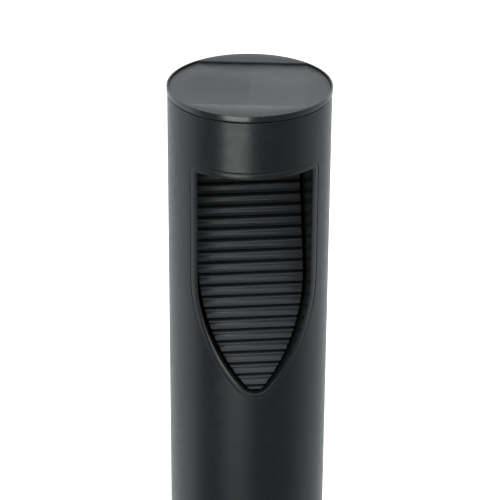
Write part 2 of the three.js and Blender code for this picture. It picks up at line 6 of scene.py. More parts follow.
import json
import math

import bmesh
import bpy
from mathutils import Matrix, Vector


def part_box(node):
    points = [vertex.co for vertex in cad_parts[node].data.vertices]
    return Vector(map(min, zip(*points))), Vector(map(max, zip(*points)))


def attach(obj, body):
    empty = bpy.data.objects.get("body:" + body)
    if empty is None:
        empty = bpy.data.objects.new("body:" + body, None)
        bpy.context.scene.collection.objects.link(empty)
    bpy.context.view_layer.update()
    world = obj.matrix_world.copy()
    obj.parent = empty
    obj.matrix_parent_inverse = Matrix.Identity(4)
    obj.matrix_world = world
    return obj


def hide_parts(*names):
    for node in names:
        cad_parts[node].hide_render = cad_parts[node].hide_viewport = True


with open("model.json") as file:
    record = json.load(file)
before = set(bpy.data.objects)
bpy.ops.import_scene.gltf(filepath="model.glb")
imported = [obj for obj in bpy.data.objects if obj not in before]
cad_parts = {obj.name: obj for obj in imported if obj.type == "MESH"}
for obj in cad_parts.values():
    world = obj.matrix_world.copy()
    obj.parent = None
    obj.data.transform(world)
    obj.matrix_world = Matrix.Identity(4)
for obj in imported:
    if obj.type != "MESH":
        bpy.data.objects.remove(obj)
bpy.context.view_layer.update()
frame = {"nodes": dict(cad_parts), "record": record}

MM = 0.001
TAU = 2 * math.pi


def corner(node, end, axis):
    """One coordinate of a CAD node's box, in millimetres."""
    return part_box(node)[end][axis] / MM


# ---- Sizes, in millimetres, from the CAD model where it says them ----
TOP = corner("head_cap", 1, 2)
RIM_RADIUS = corner("head_cap", 1, 0)
TUBE_RADIUS = corner("body_tube", 1, 0)
TUBE_TOP = corner("body_tube", 1, 2)
TUBE_BOTTOM = corner("body_tube", 0, 2)
TUBE_INNER = TUBE_RADIUS - 2.5
RIM_BOTTOM = TOP - 4.5
PANEL_TOP = corner("solar_panel", 1, 2)
PANEL_BOTTOM = corner("solar_panel", 0, 2)
BASE_RADIUS = corner("base_flange", 1, 0)
BASE_PLATE = 8.0
HEAD_TURN = math.radians(-8.3)

SKIRT_INNER = 47.8
SKIRT_OUTER = 49.6
SKIRT_BOTTOM = TOP - 23
SPIGOT_INNER = 46.0
GROUND_HOLE_PITCH = 64.0
GROUND_HOLE_RADIUS = 3.5
SIDE_SCREW_HEIGHT = 24.0

PANEL_RADIUS = 53.6
PANEL_FRONT = 35.4
PANEL_BACK = 38.5

OPENING_HALF = 38.3
OPENING_TOP = TOP - 45.5
OPENING_SPRING = TOP - 125.8
OPENING_ARC = 113.0
OPENING_CORNER = 2.0
OPENING_TIP = 11.75
BAND = 4.3
BAND_TOP_GROWTH = 4.8 / BAND
BAND_TOP_GAP = 0.4
BAND_CROWN = 0.24
BAND_SPRING_GROWTH = 0.8 / BAND
RECESS_WALL = 2.0
RECESS_BACK = -30.4
GAP = 0.3

SLAT_FRONT = -8.0
SLAT_SLOPE = 0.496
SLAT_LINE_TOP = TOP - 81.7
SLAT_PITCH = 6.925
SLAT_HEIGHT = 5.45
SLAT_DEPTH = 6.0
SLAT_SCOOP = 0.8
SLAT_FIRST = TOP - 207.7
SLAT_COUNT = 22
SLAT_SIDE_GAP = 2.2
LOUVRE_PLATE = 2.2
LOUVRE_TOP = TOP - 47.4
LOUVRE_BACK = -27.5

LENS_RADIUS = 17.0
LENS_FORWARD = 5.0


# ---- Camera ----
CAMERA_TURN = math.radians(5.8)  # the window is turned this far to the camera's right
CAMERA_DISTANCE = 1361.8
CAMERA_ABOVE_TOP = 553.8
CAMERA_PITCH = 0.4614
CAMERA_YAW = 0.0007
CAMERA_ROLL = 0.0072
CAMERA_LENS = 158.95


def add_camera():
    forward = Vector((
        math.sin(CAMERA_YAW) * math.cos(CAMERA_PITCH),
        math.cos(CAMERA_YAW) * math.cos(CAMERA_PITCH),
        -math.sin(CAMERA_PITCH),
    ))
    level = Vector((math.cos(CAMERA_YAW), -math.sin(CAMERA_YAW), 0))
    up = level.cross(forward)
    right = level * math.cos(CAMERA_ROLL) + up * math.sin(CAMERA_ROLL)
    up = right.cross(forward)
    axes = Matrix((right, up, -forward)).transposed().to_4x4()
    place = Matrix.Translation(Vector((0, -CAMERA_DISTANCE, TOP + CAMERA_ABOVE_TOP)) * MM)
    data = bpy.data.cameras.new("camera")
    data.lens = CAMERA_LENS
    data.sensor_width = 36
    data.clip_end = 50
    camera = bpy.data.objects.new("camera", data)
    camera.matrix_world = Matrix.Rotation(-CAMERA_TURN, 4, "Z") @ place @ axes
    bpy.context.scene.collection.objects.link(camera)
    bpy.context.scene.camera = camera


# ---- Lights ----
def area_light(name, azimuth, distance, height, width, tall, power, aim_height):
    """A soft box: azimuth in degrees from the camera's side, positive to the camera's right."""
    data = bpy.data.lights.new(name, "AREA")
    data.shape = "RECTANGLE"
    data.size = width
    data.size_y = tall
    data.energy = power
    lamp = bpy.data.objects.new(name, data)
    angle = math.radians(azimuth) - CAMERA_TURN
    lamp.location = (distance * math.sin(angle), -distance * math.cos(angle), height)
    aim = Vector((0, 0, aim_height)) - lamp.location
    lamp.rotation_euler = aim.to_track_quat("-Z", "Y").to_euler()
    lamp.visible_camera = False
    bpy.context.scene.collection.objects.link(lamp)


def add_lights():
    """A soft strip low on the left, a frontal key, and two weak lights behind."""
    area_light("strip_left", -18, 0.9, 0.24, 0.56, 0.36, 1.6, 0.24)
    area_light("key", 4, 1.7, 1.3, 1.1, 0.7, 1.4, 0.48)
    area_light("back_left", -130, 1.7, 1.3, 1.0, 1.0, 0.6, 0.5)
    area_light("back_right", 140, 1.7, 1.3, 1.0, 1.0, 1.5, 0.5)


class Maths:
    """Writes sums of sockets and numbers as shader nodes."""

    def __init__(self, nt):
        self.nt = nt

    def do(self, operation, *values):
        made = self.nt.nodes.new("ShaderNodeMath")
        made.operation = operation
        for i, value in enumerate(values):
            if isinstance(value, (int, float)):
                made.inputs[i].default_value = value
            else:
                self.nt.links.new(value, made.inputs[i])
        return made.outputs[0]

    def ramp(self, value, start, end, low, high):
        """Smoothly from low at start to high at end."""
        made = self.nt.nodes.new("ShaderNodeMapRange")
        made.interpolation_type = "SMOOTHSTEP"
        made.inputs["From Min"].default_value = start
        made.inputs["From Max"].default_value = end
        made.inputs["To Min"].default_value = low
        made.inputs["To Max"].default_value = high
        self.nt.links.new(value, made.inputs["Value"])
        return made.outputs["Result"]

    def mix(self, factor, first, second):
        """first where factor is 0, second where it is 1."""
        return self.do("ADD", first, self.do("MULTIPLY", factor, self.do("SUBTRACT", second, first)))


def studio_strength(nt):
    """How bright the studio is in each direction: dim floor in front, brighter sides and ceiling."""
    m = Maths(nt)
    where = nt.nodes.new("ShaderNodeTexCoord")
    split = nt.nodes.new("ShaderNodeSeparateXYZ")
    nt.links.new(where.outputs["Generated"], split.inputs["Vector"])
    x, y, up = split.outputs
    cos, sin = math.cos(CAMERA_TURN), math.sin(CAMERA_TURN)
    near = m.do("SUBTRACT", m.do("MULTIPLY", y, -cos), m.do("MULTIPLY", x, sin))
    right = m.do("SUBTRACT", m.do("MULTIPLY", x, cos), m.do("MULTIPLY", y, sin))
    azimuth = m.do("DEGREES", m.do("ARCTAN2", right, near))
    left_wall = m.ramp(azimuth, -62, -96, 0.0, 0.74)
    right_wall = m.ramp(azimuth, 48, 118, 0.0, 0.52)
    right_back = m.ramp(azimuth, 115, 165, 0.0, 0.25)
    strip_glow = m.ramp(m.do("ABSOLUTE", m.do("ADD", azimuth, 16.0)), 30, 4, 0.0, 0.48)
    low = m.do("ADD", m.do("ADD", left_wall, right_back), m.do("ADD", right_wall, strip_glow))
    low = m.do("ADD", low, 0.14)
    high = m.mix(m.ramp(near, 0.3, -0.5, 0.0, 1.0), 0.75, m.ramp(up, 0.5, 0.75, 0.95, 1.75))
    return m.mix(m.ramp(up, -0.22, 0.02, 0.0, 1.0), low, high)


def add_world():
    world = bpy.data.worlds.new("studio")
    bpy.context.scene.world = world
    world.use_nodes = True
    nt = world.node_tree
    nt.nodes.clear()
    out = nt.nodes.new("ShaderNodeOutputWorld")
    seen = nt.nodes.new("ShaderNodeBackground")
    seen.inputs["Color"].default_value = (1, 1, 1, 1)
    seen.inputs["Strength"].default_value = 1.05
    lit = nt.nodes.new("ShaderNodeBackground")
    lit.inputs["Color"].default_value = (0.95, 1.0, 1.01, 1)
    nt.links.new(studio_strength(nt), lit.inputs["Strength"])
    path = nt.nodes.new("ShaderNodeLightPath")
    mix = nt.nodes.new("ShaderNodeMixShader")
    nt.links.new(path.outputs["Is Camera Ray"], mix.inputs[0])
    nt.links.new(lit.outputs[0], mix.inputs[1])
    nt.links.new(seen.outputs[0], mix.inputs[2])
    nt.links.new(mix.outputs[0], out.inputs["Surface"])


# ---- Materials ----
PLASTIC_GRAIN = 1400
METAL_LINES = 900


def node(nt, kind, **values):
    made = nt.nodes.new(kind)
    for key, value in values.items():
        if key in made.inputs:
            made.inputs[key].default_value = value
        else:
            setattr(made, key, value)
    return made


def noise(nt, scale, detail=4.0, stretch=(1, 1, 1)):
    """Noise over the row frame, in metres, so that its grain has a real size."""
    where = node(nt, "ShaderNodeTexCoord")
    mapping = node(nt, "ShaderNodeMapping", Scale=stretch)
    made = node(nt, "ShaderNodeTexNoise", Scale=scale, Detail=detail)
    nt.links.new(where.outputs["Object"], mapping.inputs["Vector"])
    nt.links.new(mapping.outputs["Vector"], made.inputs["Vector"])
    return made


def ranged(nt, socket, low, high, start=0.3, end=0.7):
    made = node(nt, "ShaderNodeMapRange")
    made.inputs["From Min"].default_value = start
    made.inputs["From Max"].default_value = end
    made.inputs["To Min"].default_value = low
    made.inputs["To Max"].default_value = high
    nt.links.new(socket, made.inputs["Value"])
    return made.outputs["Result"]


def blended(nt, factor, first, second):
    made = node(nt, "ShaderNodeMix", data_type="RGBA")
    made.inputs[6].default_value = (*first, 1)
    made.inputs[7].default_value = (*second, 1)
    nt.links.new(factor, made.inputs[0])
    return made.outputs[2]


def material(name, specular=0.5, metallic=0.0):
    made = bpy.data.materials.new(name)
    made.use_nodes = True
    nt = made.node_tree
    shader = nt.nodes["Principled BSDF"]
    shader.inputs["Specular IOR Level"].default_value = specular
    shader.inputs["Metallic"].default_value = metallic
    return made, nt, shader


def plastic(name, dark, light, rough, spread=0.05, bump=0.012, specular=0.5):
    """Moulded plastic: patchy colour and gloss, and a fine grain."""
    made, nt, shader = material(name, specular)
    patches = noise(nt, 26, 3)
    fine = noise(nt, PLASTIC_GRAIN, 2)
    colour = blended(nt, ranged(nt, patches.outputs["Fac"], 0, 1), dark, light)
    nt.links.new(colour, shader.inputs["Base Color"])
    gloss = noise(nt, 140, 5)
    uneven = ranged(nt, gloss.outputs["Fac"], rough - spread, rough + spread)
    nt.links.new(uneven, shader.inputs["Roughness"])
    height = node(nt, "ShaderNodeBump", Strength=0.35, Distance=bump * MM)
    nt.links.new(fine.outputs["Fac"], height.inputs["Height"])
    nt.links.new(height.outputs["Normal"], shader.inputs["Normal"])
    return made


def metal(name, colour, rough):
    made, nt, shader = material(name, metallic=1.0)
    streaks = noise(nt, METAL_LINES, 3, (1, 1, 0.15))
    darker = tuple(c * 0.82 for c in colour)
    nt.links.new(blended(nt, streaks.outputs["Fac"], darker, colour), shader.inputs["Base Color"])
    nt.links.new(ranged(nt, streaks.outputs["Fac"], rough - 0.08, rough + 0.12), shader.inputs["Roughness"])
    height = node(nt, "ShaderNodeBump", Strength=0.3, Distance=0.01 * MM)
    nt.links.new(streaks.outputs["Fac"], height.inputs["Height"])
    nt.links.new(height.outputs["Normal"], shader.inputs["Normal"])
    return made


CELL_HALF = 38.2
CELL_SEAM = 0.5
FINGER_PITCH = 1.9
FINGER_SHARE = 0.14
# Where the painted sheen on the film starts and where it is full, along the panel.
SHEEN_FROM = 18
SHEEN_TO = -40


def solar_film():
    """A matt film over two dark cells, their fine fingers and the seam between them, with a painted sheen
    that lightens it towards the front.
    """
    made, nt, shader = material("solar_film", 0.4)
    m = Maths(nt)
    where = node(nt, "ShaderNodeTexCoord")
    split = node(nt, "ShaderNodeSeparateXYZ")
    nt.links.new(where.outputs["Object"], split.inputs["Vector"])
    across, along, _ = split.outputs
    inside = m.do("LESS_THAN", m.do("ABSOLUTE", across), CELL_HALF * MM)
    off_seam = m.do("GREATER_THAN", m.do("ABSOLUTE", across), CELL_SEAM * MM / 2)
    right = m.do("GREATER_THAN", across, 0.0)
    wave = m.do("FRACT", m.do("DIVIDE", along, FINGER_PITCH * MM))
    finger = m.do("MULTIPLY", m.do("LESS_THAN", wave, FINGER_SHARE), 0.5)
    patches = noise(nt, 60, 4)
    left_cell = blended(nt, patches.outputs["Fac"], (0.004, 0.005, 0.009), (0.008, 0.009, 0.015))
    right_cell = blended(nt, patches.outputs["Fac"], (0.015, 0.016, 0.018), (0.022, 0.023, 0.026))

    def mixed(factor, first, second):
        blend = node(nt, "ShaderNodeMix", data_type="RGBA")
        nt.links.new(factor, blend.inputs[0])
        for socket, value in ((blend.inputs[6], first), (blend.inputs[7], second)):
            if isinstance(value, tuple):
                socket.default_value = (*value, 1)
            else:
                nt.links.new(value, socket)
        return blend.outputs[2]

    cells = mixed(finger, mixed(right, left_cell, right_cell), (0.05, 0.051, 0.055))
    bare = mixed(m.do("MULTIPLY", inside, off_seam), (0.012, 0.0125, 0.013), cells)
    # Painted sheen: the film's colour is lightened towards the front to stand in for the brighter reflection
    # there.
    sheen_ramp = m.ramp(along, SHEEN_FROM * MM, SHEEN_TO * MM, 0.0, 0.13)
    painted_sheen = m.do("MULTIPLY", sheen_ramp, ranged(nt, patches.outputs["Fac"], 0.8, 1.0))
    colour = mixed(painted_sheen, bare, (0.4, 0.405, 0.41))
    nt.links.new(colour, shader.inputs["Base Color"])
    nt.links.new(ranged(nt, patches.outputs["Fac"], 0.3, 0.38), shader.inputs["Roughness"])
    fine = noise(nt, 1800, 2)
    height = node(nt, "ShaderNodeBump", Strength=0.25, Distance=0.01 * MM)
    nt.links.new(fine.outputs["Fac"], height.inputs["Height"])
    nt.links.new(height.outputs["Normal"], shader.inputs["Normal"])
    return made


def frosted():
    made, nt, shader = material("frosted_lens", 0.5)
    cloud = noise(nt, 220, 4)
    colour = blended(nt, cloud.outputs["Fac"], (0.74, 0.74, 0.71), (0.86, 0.86, 0.84))
    nt.links.new(colour, shader.inputs["Base Color"])
    nt.links.new(ranged(nt, cloud.outputs["Fac"], 0.35, 0.5), shader.inputs["Roughness"])
    shader.inputs["Subsurface Weight"].default_value = 0.3
    shader.inputs["Subsurface Scale"].default_value = 0.002
    height = node(nt, "ShaderNodeBump", Strength=0.3, Distance=0.02 * MM)
    nt.links.new(noise(nt, 1500, 2).outputs["Fac"], height.inputs["Height"])
    nt.links.new(height.outputs["Normal"], shader.inputs["Normal"])
    return made


# ---- Mesh helpers ----
def new_object(name, verts, faces, materials, face_material=None, smooth_angle=35):
    mesh = bpy.data.meshes.new(name)
    mesh.from_pydata([(x * MM, y * MM, z * MM) for x, y, z in verts], [], faces)
    for m in materials:
        mesh.materials.append(m)
    if face_material:
        mesh.polygons.foreach_set("material_index", face_material)
    made = bpy.data.objects.new(name, mesh)
    bpy.context.scene.collection.objects.link(made)
    finish_mesh(made, smooth_angle)
    return made


def finish_mesh(obj, smooth_angle=35):
    """Faces outwards, smooth but for the sharp edges."""
    bm = bmesh.new()
    bm.from_mesh(obj.data)
    bmesh.ops.remove_doubles(bm, verts=bm.verts, dist=1e-7)
    bmesh.ops.recalc_face_normals(bm, faces=bm.faces)
    bm.to_mesh(obj.data)
    bm.free()
    obj.data.shade_smooth()
    obj.data.set_sharp_from_angle(angle=math.radians(smooth_angle))


def loft(name, loops, materials, ring=False, caps=True, bands=None, smooth_angle=35):
    """Joins closed loops of equal length. ring joins the last to the first, and caps closes the two ends."""
    count = len(loops[0])
    verts = [p for loop in loops for p in loop]
    faces = []
    face_material = []
    pairs = len(loops) if ring else len(loops) - 1
    for j in range(pairs):
        k = (j + 1) % len(loops)
        for i in range(count):
            n = (i + 1) % count
            faces.append((j * count + i, j * count + n, k * count + n, k * count + i))
            face_material.append(bands[j] if bands else 0)
    if caps and not ring:
        faces.append(tuple(range(count)))
        faces.append(tuple(range((len(loops) - 1) * count, len(loops) * count)))
        face_material += [0, 0]
    return new_object(name, verts, faces, materials, face_material, smooth_angle)


def circle(radius, z, sides, x=0.0, y=0.0):
    return [
        (x + radius * math.cos(TAU * i / sides), y + radius * math.sin(TAU * i / sides), z)
        for i in range(sides)
    ]


def turned(name, profile, materials, sides=192, ring=False, smooth_angle=35, x=0.0, y=0.0):
    """A profile of (radius, height) pairs turned about Z."""
    loops = [circle(r, z, sides, x, y) for r, z in profile]
    return loft(name, loops, materials, ring=ring, smooth_angle=smooth_angle)


def fillet(cx, cz, radius, start, end, steps=5):
    """Points of an arc in a profile, angles in degrees."""
    points = []
    for i in range(steps + 1):
        a = math.radians(start + (end - start) * i / steps)
        points.append((cx + radius * math.cos(a), cz + radius * math.sin(a)))
    return points


def cut(obj, tool, smooth_angle=35):
    """Takes tool out of obj and deletes tool."""
    step = obj.modifiers.new("cut", "BOOLEAN")
    step.operation = "DIFFERENCE"
    step.solver = "EXACT"
    step.object = tool
    bpy.context.view_layer.update()
    seen = obj.evaluated_get(bpy.context.evaluated_depsgraph_get())
    mesh = bpy.data.meshes.new_from_object(seen)
    mesh.name = obj.name
    obj.modifiers.clear()
    obj.data = mesh
    bpy.data.objects.remove(tool)
    finish_mesh(obj, smooth_angle)


def round_normals(obj, radii):
    """Gives the upright round faces the normals of true cylinders."""
    mesh = obj.data
    normals = [(0, 0, 0)] * len(mesh.loops)
    for face in mesh.polygons:
        middle = Vector((face.center.x, face.center.y, 0)).normalized()
        facing = face.normal.dot(middle)
        if abs(facing) < 0.999:
            continue
        for loop in face.loop_indices:
            co = mesh.vertices[mesh.loops[loop].vertex_index].co
            distance = math.hypot(co.x, co.y) / MM
            if any(abs(distance - r) < 0.02 for r in radii):
                out = Vector((co.x, co.y, 0)).normalized()
                normals[loop] = out if facing > 0 else -out
    mesh.normals_split_custom_set(normals)


def settle(obj, body, slot, *nodes):
    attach(obj, body)
    if nodes:
        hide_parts(*nodes)


# ---- The window's outline ----
def window_outline(offset, fine=4):
    """Points (x, z) of the outline grown by offset, clockwise from the top right."""
    top = OPENING_TOP + offset * BAND_TOP_GROWTH
    spring = OPENING_SPRING + offset * BAND_SPRING_GROWTH
    corner_radius = max(OPENING_CORNER + offset, 0.3)
    half = OPENING_HALF + offset
    centre = OPENING_ARC - OPENING_HALF
    drop = math.sqrt((OPENING_ARC - OPENING_TIP) ** 2 - centre**2)
    lean = math.atan2(drop, centre)
    points = []

    def arc(x, z, radius, start, end, steps):
        for i in range(steps + 1):
            a = start + (end - start) * i / steps
            points.append((x + radius * math.cos(a), z + radius * math.sin(a)))

    def line(x0, z0, x1, z1, steps):
        for i in range(1, steps):
            t = i / steps
            points.append((x0 + (x1 - x0) * t, z0 + (z1 - z0) * t))

    arc(half - corner_radius, top - corner_radius, corner_radius, math.pi / 2, 0, 3 * fine)
    line(half, top - corner_radius, half, spring, 6 * fine)
    arc(-centre, spring, OPENING_ARC + offset, 0, -lean + 0.0005, 10 * fine)
    arc(0, spring - drop, OPENING_TIP + offset, -lean - 0.02, lean + 0.02 - math.pi, 6 * fine)
    arc(centre, spring, OPENING_ARC + offset, lean - 0.0005 - math.pi, -math.pi, 10 * fine)
    line(-half, spring, -half, top - corner_radius, 6 * fine)
    arc(corner_radius - half, top - corner_radius, corner_radius, math.pi, math.pi / 2, 3 * fine)
    line(corner_radius - half, top, half - corner_radius, top, 12 * fine)
    return points


def on_round(points, radius):
    """The outline laid on a cylinder's front."""
    return [(x, -math.sqrt(radius**2 - x * x), z) for x, z in points]


def slat_line(z):
    return SLAT_FRONT + SLAT_SLOPE * (SLAT_LINE_TOP - z)


def slot_floor(z):
    return max(slat_line(z) - SLAT_DEPTH, LOUVRE_BACK)


def opening_half(z, offset):
    """Half the outline's width at a height, grown by offset."""
    spring = OPENING_SPRING + offset * BAND_SPRING_GROWTH
    half = OPENING_HALF + offset
    if z >= spring:
        return half
    centre = OPENING_ARC - OPENING_HALF
    drop = math.sqrt((OPENING_ARC - OPENING_TIP) ** 2 - centre**2)
    tip = OPENING_TIP + offset
    lean = math.atan2(drop, centre)
    if z >= spring - (OPENING_ARC + offset) * math.sin(lean):
        return math.sqrt((OPENING_ARC + offset) ** 2 - (spring - z) ** 2) - centre
    return math.sqrt(max(tip**2 - (spring - drop - z) ** 2, 0.0))


OPENING_BOTTOM = OPENING_SPRING - OPENING_TIP - math.sqrt(
    (OPENING_ARC - OPENING_TIP) ** 2 - (OPENING_ARC - OPENING_HALF) ** 2
)
LOUVRE_BOTTOM = OPENING_BOTTOM + SLAT_SIDE_GAP + 0.05


# ---- Pieces ----
def make_tube(skin):
    """The tube, with a softly rounded mouth and window edge."""
    r, inner = TUBE_RADIUS, TUBE_INNER
    profile = [(inner, TUBE_BOTTOM)]
    profile += fillet(r - 0.4, TUBE_BOTTOM + 0.4, 0.4, -90, 0, 3)
    mouth = TUBE_TOP - 0.25
    profile += fillet(r - 0.3, mouth - 0.3, 0.3, 0, 90, 4)
    profile += [(inner, mouth)]
    tube = turned("tube_skin", profile, [skin], sides=256, ring=True)
    loops = [[(x, -20, z) for x, z in window_outline(BAND)]]
    for offset, radius in ((0, 0.26), (0.08, 0.13), (0.2, 0.04), (0.34, 0), (0.5, -0.03)):
        loops.append(on_round(window_outline(BAND + offset), r - radius))
    loops.append([(x, -75, z) for x, z in window_outline(BAND + 0.5)])
    cut(tube, loft("cutter", loops, [skin]), 24)
    round_normals(tube, (r, inner))
    settle(tube, "pole", "body_plastic", "body_tube")


def make_bezel(band, gloss):
    """The gently crowned band, almost flush with the tube, and the recess's walls behind it."""
    skin = TUBE_RADIUS - 0.08
    outer = BAND - 0.02
    lip = 0.35
    behind = TUBE_INNER - 0.4
    back = behind - 2.0

    def wall(offset):
        points = window_outline(offset)
        return [(x, -max(slat_line(z) - SLAT_DEPTH - LOUVRE_PLATE - GAP, RECESS_BACK), z) for x, z in points]

    def front(offset, radius):
        ceiling = OPENING_TOP + offset * (BAND_TOP_GROWTH - BAND_TOP_GAP / BAND)
        return on_round([(x, min(z, ceiling)) for x, z in window_outline(offset)], radius)

    loops = []
    bands = []
    for i in range(9):
        t = i / 8
        loops.append(front(outer + (lip - outer) * t, skin - BAND_CROWN * (2 * t - 1) ** 2))
        bands.append(0)
    for offset, depth in ((0.14, 0.07), (0.04, 0.2), (0, 0.4)):
        loops.append(front(offset, skin - BAND_CROWN - depth))
        bands.append(0)
    # The recess walls, band 1, take the painted-shade material.
    loops += [wall(0), wall(RECESS_WALL)]
    bands += [1, 1]
    loops += [front(RECESS_WALL, back), front(BAND + 4, back), front(BAND + 4, behind), front(outer, behind)]
    bands += [1, 1, 1, 0]
    bezel = loft("window_band", loops, [band, gloss], ring=True, bands=bands, smooth_angle=32)
    hole = turned(
        "cutter",
        [(LENS_RADIUS + 1.3, OPENING_TOP - 5), (LENS_RADIUS + 1.3, OPENING_TOP + 4)],
        [gloss],
        sides=96,
        y=-LENS_FORWARD,
    )
    cut(bezel, hole, 32)
    settle(bezel, "pole", "bezel_plastic", "window_bezel")


def slat_profile(index):
    """One slat's section as (forward, height): a small lower lip, a scoop and a rounded top edge."""
    high = SLAT_FIRST + index * SLAT_PITCH + SLAT_HEIGHT
    low = max(high - SLAT_HEIGHT, LOUVRE_BOTTOM)
    lip = 0.42
    brow = 1.0 + 1.3 * min(max((index - 8) / (SLAT_COUNT - 9), 0.0), 1.0)
    points = [(slot_floor(low) - 0.6, low)]
    for i in range(4):
        a = math.radians(-90 + 30 * i)
        points.append((slat_line(low + lip) - lip + lip * math.cos(a), low + lip + lip * math.sin(a)))
    steps = 8
    for i in range(1, steps):
        t = i / steps
        z = low + lip + (high - low - lip - brow) * t
        points.append((slat_line(z) - SLAT_SCOOP * math.sin(math.pi * t) ** 0.8, z))
    for i in range(6):
        a = math.radians(18 * i)
        points.append((slat_line(high - brow) - brow + brow * math.cos(a), high - brow + brow * math.sin(a)))
    points.append((slot_floor(high) - 0.6, high))
    return points


def make_louvre(slat_material):
    """Every slat, and the sloping plate behind them that turns upright at the top."""
    verts = []
    faces = []
    round_end = 0.5
    for index in range(SLAT_COUNT):
        profile = slat_profile(index)
        count = len(profile)
        middle = (
            sum(p[0] for p in profile) / count,
            sum(p[1] for p in profile) / count,
        )
        start = len(verts)
        for side, inset in ((-1, 0.0), (-1, round_end), (1, round_end), (1, 0.0)):
            shrink = 0.0 if inset else 0.35
            for forward, z in profile:
                f = forward - shrink * (1 if forward > slot_floor(z) + 1 else 0)
                h = z + shrink * (1 if z < middle[1] else -1) * abs(z - middle[1]) / (SLAT_HEIGHT / 2)
                x = side * (max(opening_half(z, -SLAT_SIDE_GAP), 0.6) - inset)
                verts.append((x, -f, h))
        for j in range(3):
            for i in range(count):
                n = (i + 1) % count
                a = start + j * count
                faces.append((a + i, a + n, a + count + n, a + count + i))
        faces.append(tuple(start + i for i in range(count)))
        faces.append(tuple(start + 3 * count + i for i in range(count)))
    bottom = LOUVRE_BOTTOM
    heights = [bottom + 0.5 * i for i in range(20)] + [bottom + 10 + 4 * i for i in range(37)] + [LOUVRE_TOP]
    start = len(verts)
    for z in heights:
        half = max(opening_half(z, -SLAT_SIDE_GAP), 0.6)
        floor = slot_floor(z)
        rear = floor - LOUVRE_PLATE
        for x, forward in ((-half, floor), (half, floor), (half, rear), (-half, rear)):
            verts.append((x, -forward, z))
    rows = len(heights)
    for j in range(rows - 1):
        for i in range(4):
            n = (i + 1) % 4
            a = start + 4 * j
            faces.append((a + i, a + n, a + 4 + n, a + 4 + i))
    faces.append(tuple(start + i for i in range(4)))
    faces.append(tuple(start + 4 * (rows - 1) + i for i in range(4)))
    louvre = new_object("louvre_slats", verts, faces, [slat_material], smooth_angle=40)
    settle(louvre, "pole", "louvre_plastic", "louvre_insert")


def head_angles(*outlines, sides=256):
    """Angles round the head, with the corners where each outline's chords meet its arcs."""
    angles = {TAU * i / sides for i in range(sides)}
    for radius, front, back in outlines:
        angles |= {math.asin(back / radius), math.pi - math.asin(back / radius)}
        angles |= {math.pi + math.asin(front / radius), TAU - math.asin(front / radius)}
    return sorted(angles)


def head_loop(angles, radius, z, front=None, back=None):
    """A circle, cut off by a chord at the front and one at the back."""
    loop = []
    for a in angles:
        r = radius
        if back and math.sin(a) > back / radius:
            r = back / math.sin(a)
        if front and -math.sin(a) > front / radius:
            r = front / -math.sin(a)
        loop.append((r * math.cos(a), r * math.sin(a), z))
    return loop


def turn_head(obj):
    obj.matrix_world = Matrix.Rotation(HEAD_TURN, 4, "Z")


def make_cap(side, face):
    """The glossy rim and skirt, and the satin top with the panel's pocket, bevelled along its chords."""
    pocket = PANEL_RADIUS + GAP
    front = PANEL_FRONT + GAP
    back = PANEL_BACK + GAP
    edge = [
        (pocket + 0.25, TOP, front + 1.3, back + 0.7),
        (pocket + 0.08, TOP - 0.1, front + 1.0, back + 0.5),
        (pocket, TOP - 0.42, front + 0.4, back + 0.2),
        (pocket, TOP - 0.7, front, back),
        (pocket, PANEL_BOTTOM - 0.9, front, back),
    ]
    angles = head_angles(*((radius, near, far) for radius, _, near, far in edge))
    r = RIM_RADIUS
    profile = [
        (SKIRT_INNER, RIM_BOTTOM),
        (SKIRT_INNER, SKIRT_BOTTOM),
        (SKIRT_OUTER, SKIRT_BOTTOM),
        (SKIRT_OUTER, RIM_BOTTOM),
    ]
    profile += fillet(r - 0.35, RIM_BOTTOM + 0.35, 0.35, -90, 0, 4)
    profile += fillet(r - 0.6, TOP - 0.6, 0.6, 0, 90, 6)
    loops = [head_loop(angles, radius, z) for radius, z in profile]
    loops += [head_loop(angles, *step) for step in edge]
    bands = [0] * (len(profile) - 1) + [1] * len(edge)
    cap = loft("cap_shell", loops, [side, face], bands=bands, smooth_angle=32)
    turn_head(cap)
    settle(cap, "head", "body_plastic", "head_cap")


def make_panel(film):
    angles = head_angles((PANEL_RADIUS, PANEL_FRONT, PANEL_BACK))
    edge = ((0, PANEL_BOTTOM), (0, PANEL_TOP - 0.12), (0.04, PANEL_TOP - 0.03), (0.12, PANEL_TOP))
    loops = [
        head_loop(angles, PANEL_RADIUS - inset, z, PANEL_FRONT - inset, PANEL_BACK - inset)
        for inset, z in edge
    ]
    panel = loft("panel_laminate", loops, [film], smooth_angle=32)
    turn_head(panel)
    settle(panel, "head", "solar_laminate", "solar_panel")


def make_lens(clear):
    low = corner("light_lens", 0, 2)
    high = corner("light_lens", 1, 2)
    r = LENS_RADIUS - GAP
    lip = high - 1.2
    profile = [(2.0, low), (r - 2.5, low)]
    profile += fillet(r - 1.0, low + 1.0, 1.0, -90, 0, 5)
    profile += [(r, lip), (r + 2.6, lip), (r + 2.8, lip + 0.2), (r + 2.8, high), (2.0, high)]
    lens = turned("lens_disc", profile, [clear], sides=96, y=-LENS_FORWARD)
    turn_head(lens)
    settle(lens, "head", "lens_plastic", "light_lens")


